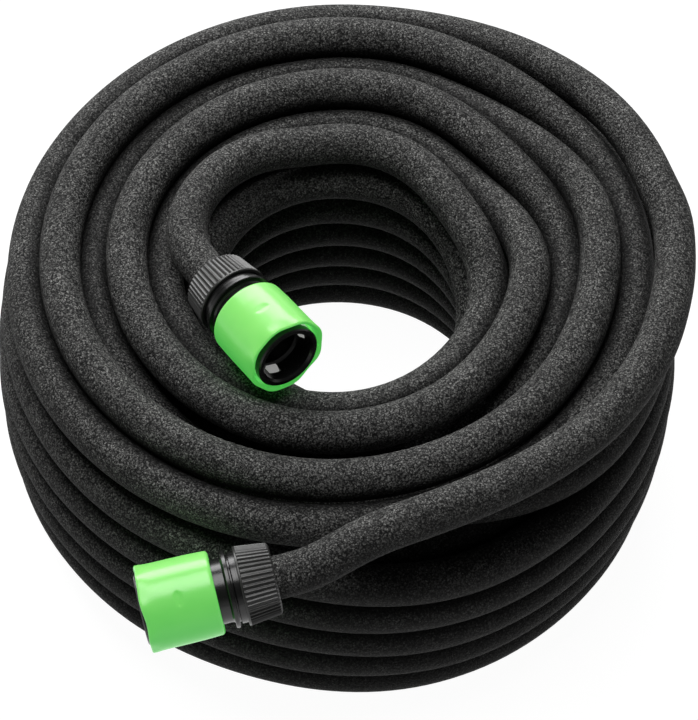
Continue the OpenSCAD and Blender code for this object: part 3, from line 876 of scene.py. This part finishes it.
sleeve = {
    "radius": 15.8,
    "mouth": 13.9,
    "clawBore": 13.4,  # the ring that holds the claws shut
    "ribBore": 12.3,  # the rib that the spring pushes
    "ribThick": 1.6,
    "backBore": 13.1,
    "backRound": 1.4,
    "sides": 240,
    "corners": 8,  # soft corners of the grip at the mouth
    "cornerTurn": 0.25,
    "uneven": 0.35,  # how unlike they are
    "flare": 0.3,  # how far they stand out, and how far back from the mouth they begin
    "gripLong": 7.0,
    "waves": (0.28, 0.12),  # how far the mouth's edge rises and falls
    "markLong": 2.9,  # half the length of the oval mark
    "markWide": 1.25,
    "markDeep": 0.35,
    "lipSlots": 12,
    "slotDeep": 0.8,
}


def sleeveOutline():
    s, g = stations, sleeve
    r, mouth, back, front = g["radius"], g["mouth"], s["sleeveBack"], s["sleeveFront"]
    mid, rib = (back + front) / 2, s["ribAt"] + g["ribThick"]
    f = np.radians(np.linspace(0, 90, 7))
    curve = g["backRound"] * (1 - np.stack([np.cos(f), np.sin(f)], axis=1))
    backEdge = [back, r - 0.3] + curve * [1, -1]
    outside = [[mid - 6, r - 0.06], [mid, r], [mid + 6, r + 0.03]]
    outside += [[front - 1.6, r + 0.05], [front - 0.35, r - 0.02]]
    lip = [[front, r - 0.45], [front - 0.05, r - 0.85], [front - 0.9, mouth + 0.35], [front - 2.4, mouth]]
    clawPart = [
        [s["clawEnd"] - 3.2, mouth],
        [s["clawEnd"] - 3.6, g["clawBore"]],
        [s["clawRing"] + 2.2, g["clawBore"]],
        [s["clawRing"] + 1.8, mouth],
    ]
    ribPart = [[rib, mouth], [rib, g["ribBore"]], [s["ribAt"], g["ribBore"]], [s["ribAt"], mouth]]
    backPart = [[s["springFrom"] + 2, mouth], [s["springFrom"] + 1, g["backBore"]], [back, g["backBore"]]]
    outline = np.concatenate([backEdge, outside, lip, clawPart, ribPart, backPart])
    return divided(softened(outline, 0.25, 2), 0.7)


def sleeveGrid(fitting):
    g, front = sleeve, stations["sleeveFront"]
    mid = (stations["sleeveBack"] + front) / 2
    markAt = math.radians(fittings[fitting]["mark"])

    def reshape(z, r, a):
        outer = smooth((r - g["mouth"] - 0.5) / 0.9)  # 0 inside, 1 outside
        near = smooth((z - front + g["gripLong"]) / g["gripLong"]) ** 2
        corner = np.cos(g["corners"] * (a - g["cornerTurn"])) + g["uneven"] * np.cos(3 * a + 0.8)
        r = r + near * outer * g["flare"] * corner
        edge = smooth((z - front + 1.4) / 1.2)  # 1 at the mouth's edge
        z = z + edge * (g["waves"][0] * np.cos(4 * a + 0.9) + g["waves"][1] * np.cos(7 * a))
        turned = (a - markAt + np.pi) % (2 * np.pi) - np.pi
        far = np.sqrt((turned * g["radius"] / g["markLong"]) ** 2 + ((z - mid) / g["markWide"]) ** 2)
        r = r - g["markDeep"] * smooth((1.15 - far) / 0.5) * outer
        # slots cut in the lip, just inside the mouth
        slot = smooth(1 - np.abs(latheWave(a, g["lipSlots"]) - 0.5) * 14)
        lip = (r < g["mouth"] + 0.75) & (z > front - 3.2)
        return z, np.where(lip, r + g["slotDeep"] * slot, r)

    return lathe(sleeveOutline(), g["sides"], reshape)


nut = {
    "front": 14.6,
    "back": 13.2,
    "rib": 0.6,
    "ribs": 48,
    "ribPoints": 10,  # points round each rib
    "rim": 0.9,
    "bore": 8.3,
    "threadBore": 13.4,
    "threadEnd": -7.3,
    "cone": (11.0, 9.8),  # radii of the cone that closes the collet, and its stations
    "coneAt": (-9.6, -12.9),
}


def nutGrid():
    # a cone with ribs along it: the radius rises by the rib's height where a rib stands
    g, front, back = nut, stations["nutFront"], stations["nutBack"]
    frontR, backR = g["front"] - g["rib"], g["back"] - g["rib"]
    ribEnd = front - g["rim"]
    cone, coneAt = g["cone"], g["coneAt"]
    outline = [
        [back, g["bore"]], [back, backR - 0.6], [back + 0.5, backR], [back + 1.1, backR + 0.05],
        [ribEnd - 0.35, frontR], [ribEnd, frontR], [ribEnd, g["front"] - 0.05], [ribEnd + 0.25, g["front"] + 0.02],
        [front - 0.25, g["front"] + 0.02], [front, g["front"] - 0.2], [front, g["threadBore"]],
        [g["threadEnd"], g["threadBore"]], [g["threadEnd"], cone[0]], [coneAt[0], cone[0]], [coneAt[1], cone[1]],
        [coneAt[1], g["bore"]],
    ]

    def reshape(z, r, a):
        line = backR + (frontR - backR) * np.clip((z - back) / (ribEnd - back), 0, 1)
        onCone = (np.abs(r - line) < 0.25) & (z < ribEnd - 0.02) & (z > back + 0.2)
        rise = smooth(1.08 - np.abs(latheWave(a, g["ribs"]) - 0.5) * 3.4)
        ends = smooth((z - back - 0.2) / 0.7)
        return z, np.where(onCone, r + g["rib"] * rise * ends, r)

    return lathe(divided(softened(outline, 0.12, 2), 2.5), g["ribs"] * g["ribPoints"], reshape)


thread = {
    "crest": 13.2,
    "depth": 0.9,
    "pitch": 2.5,
    "back": -6.9,  # stations of its two ends
    "front": -0.7,
    "collar": 11.6,  # radius inside, and where its front face begins
    "nose": 12.2,
    "sides": 128,
    "points": 50,  # points along it
}


def threadGrid():
    # a sleeve over the collar whose outside rises and falls along a screw line
    g = thread
    along = np.linspace(g["back"], g["front"], g["points"])
    outer = np.stack([along, np.full(g["points"], g["crest"])], axis=1)
    nose = g["front"] + 0.3
    outline = np.concatenate([outer, [[nose, g["nose"]], [nose, g["collar"]], [g["back"], g["collar"]]]])

    def reshape(z, r, a):
        wave = (z / g["pitch"] - a / (2 * np.pi)) % 1
        groove = smooth(np.abs(wave - 0.5) * 3.0 - 0.35)
        start = smooth((z - g["back"]) / 0.8)
        cut = g["depth"] * (1 - (1 - groove) * start)
        return z, np.where(r > g["crest"] - 0.5, r - cut, r)

    return lathe(outline, g["sides"], reshape)


spring = {
    "radius": 12.6,
    "wire": 0.4,
    "curls": 4.9,
    "seat": 0.5,  # how far each end lies off what it pushes on
    "flat": 0.03,  # share of the wire at each end that lies level
    "sides": 10,
    "points": 160,
}


def springRings():
    # round wire along a helix, drawn nearly level at its two ends
    g = spring
    t = np.linspace(0, 1, g["points"])
    a = 2 * np.pi * g["curls"] * t
    first, last = stations["springFrom"] + g["seat"], stations["ribAt"] - g["seat"]
    z = first + (last - first) * smooth(t * (1 + 2 * g["flat"]) - g["flat"])
    out = np.stack([np.cos(a), np.sin(a), 0 * a], axis=1)
    line = g["radius"] * out + z[:, None] * [0, 0, 1]
    tangent = unit(np.gradient(line, axis=0))
    radial = unit(out - (out * tangent).sum(1, keepdims=True) * tangent)
    other = np.cross(tangent, radial)
    k = np.linspace(0, 2 * np.pi, g["sides"], endpoint=False)[:, None]
    rings = line[:, None] + g["wire"] * (np.cos(k) * radial[:, None] + np.sin(k) * other[:, None])
    for end in (0, -1):  # drawn in nearly to a point
        rings[end] = line[end] + (rings[end] - line[end]) * 0.02
    return rings


for fitting in fittings:
    sleeveBody, nutBody = fitting + "_sleeve", fitting + "_nut"
    grid = sleeveGrid(fitting)
    made = fittingPiece(fitting, "sleeve_shell", grid, greenPlastic, sleeveBody, 30)
    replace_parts(made, fitting + "_sleeve")
    made = fittingPiece(fitting, "nut_shell", nutGrid(), nutPlastic, nutBody, 50)
    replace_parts(made, fitting + "_nut")
    fittingPiece(fitting, "thread", threadGrid(), blackPlastic, rootBody, 60)
    for node, material in (("body", blackPlastic), ("claw_ring", whitePlastic), ("collet", whitePlastic)):
        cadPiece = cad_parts[f"{fitting}_{node}"]
        cadPiece.data.materials.clear()
        cadPiece.data.materials.append(material)
    # the spring's wire, made without a body
    rings = springRings()
    quads = gridFaces(rings.shape[0], rings.shape[1])
    points = onFitting(fitting, rings)
    made = meshPiece(fitting + "_spring_wire", points, quads, springSteel, None)
    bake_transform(made)
    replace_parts(made, fitting + "_spring")
print("fittings made")


# Floor, light
studio = {
    "floorSize": 12.0,
    "floorGlow": 0.965,  # how white the floor looks of itself
    "floorShade": 0.12,  # how much of the shadow it shows
    "floorBounce": 0.22,  # how much light it throws back on the hose
    "fill": 0.06,  # light from all round
    "horizon": 0.5,  # how bright the horizon looks, and how high up that fades to the fill
    "horizonEnds": (0.2, 0.5),
    "aim": (0, 0, 0.1),  # where the lamps point
}
lamps = {
    "back": {"at": (-0.3, 1.25, 0.86), "size": (1.5, 0.75), "power": 25.0},
    "top": {"at": (-0.15, 0.15, 1.35), "size": (0.8, 0.8), "power": 12.0},
}


def seenDirectly(tree):
    # 1 for what the camera sees, also in gloss and through clear parts
    path = addNode(tree, "ShaderNodeLightPath").outputs
    seen = mathNode(tree, "MAXIMUM", path["Is Camera Ray"], path["Is Glossy Ray"])
    return mathNode(tree, "MAXIMUM", seen, path["Is Transmission Ray"])


def grey(level):
    return (level, level, level, 1)


def floorPiece():
    bpy.ops.mesh.primitive_plane_add(size=studio["floorSize"], location=(0, 0, 0))
    floor = bpy.context.object
    floor.name = "floor"
    material = bpy.data.materials.new("paleFloor")
    material.use_nodes = True
    tree = material.node_tree
    shader = tree.nodes["Principled BSDF"].inputs
    seen = seenDirectly(tree)
    shade = mixColor(tree, seen, grey(studio["floorBounce"]), grey(studio["floorShade"]))
    setInput(tree, shader["Base Color"], shade)
    setInput(tree, shader["Emission Color"], grey(1))
    setInput(tree, shader["Emission Strength"], mathNode(tree, "MULTIPLY", seen, studio["floorGlow"]))
    setInput(tree, shader["Roughness"], 0.9)
    setInput(tree, shader["Specular IOR Level"], 0.0)
    floor.data.materials.append(material)


def areaLamp(name, at, size, power):
    data = bpy.data.lights.new(name, "AREA")
    data.shape, data.size, data.size_y, data.energy = "RECTANGLE", size[0], size[1], power
    lamp = bpy.data.objects.new(name, data)
    lamp.location = at
    aim = Vector(studio["aim"]) - Vector(at)
    lamp.rotation_euler = aim.to_track_quat("-Z", "Y").to_euler()
    bpy.context.scene.collection.objects.link(lamp)


def worldLight():
    # the bright horizon is there for what is seen directly and in gloss, all else gets the fill alone
    world = bpy.data.worlds.new("studio")
    bpy.context.scene.world = world
    world.use_nodes = True
    tree = world.node_tree
    background = tree.nodes["Background"].inputs
    direction = addNode(tree, "ShaderNodeTexCoord").outputs["Generated"]
    up = addNode(tree, "ShaderNodeSeparateXYZ", {0: direction}).outputs[2]
    sky = spreadOver(tree, up, *studio["horizonEnds"], studio["horizon"], studio["fill"])
    level = addNode(tree, "ShaderNodeMix", {0: seenDirectly(tree), 2: studio["fill"], 3: sky}, data_type="FLOAT")
    setInput(tree, background["Strength"], level.outputs[0])
    setInput(tree, background["Color"], grey(1))


floorPiece()
worldLight()
for name, lamp in lamps.items():
    areaLamp(name, **lamp)
bpy.context.scene.view_settings.view_transform = "Standard"
print("studio made")
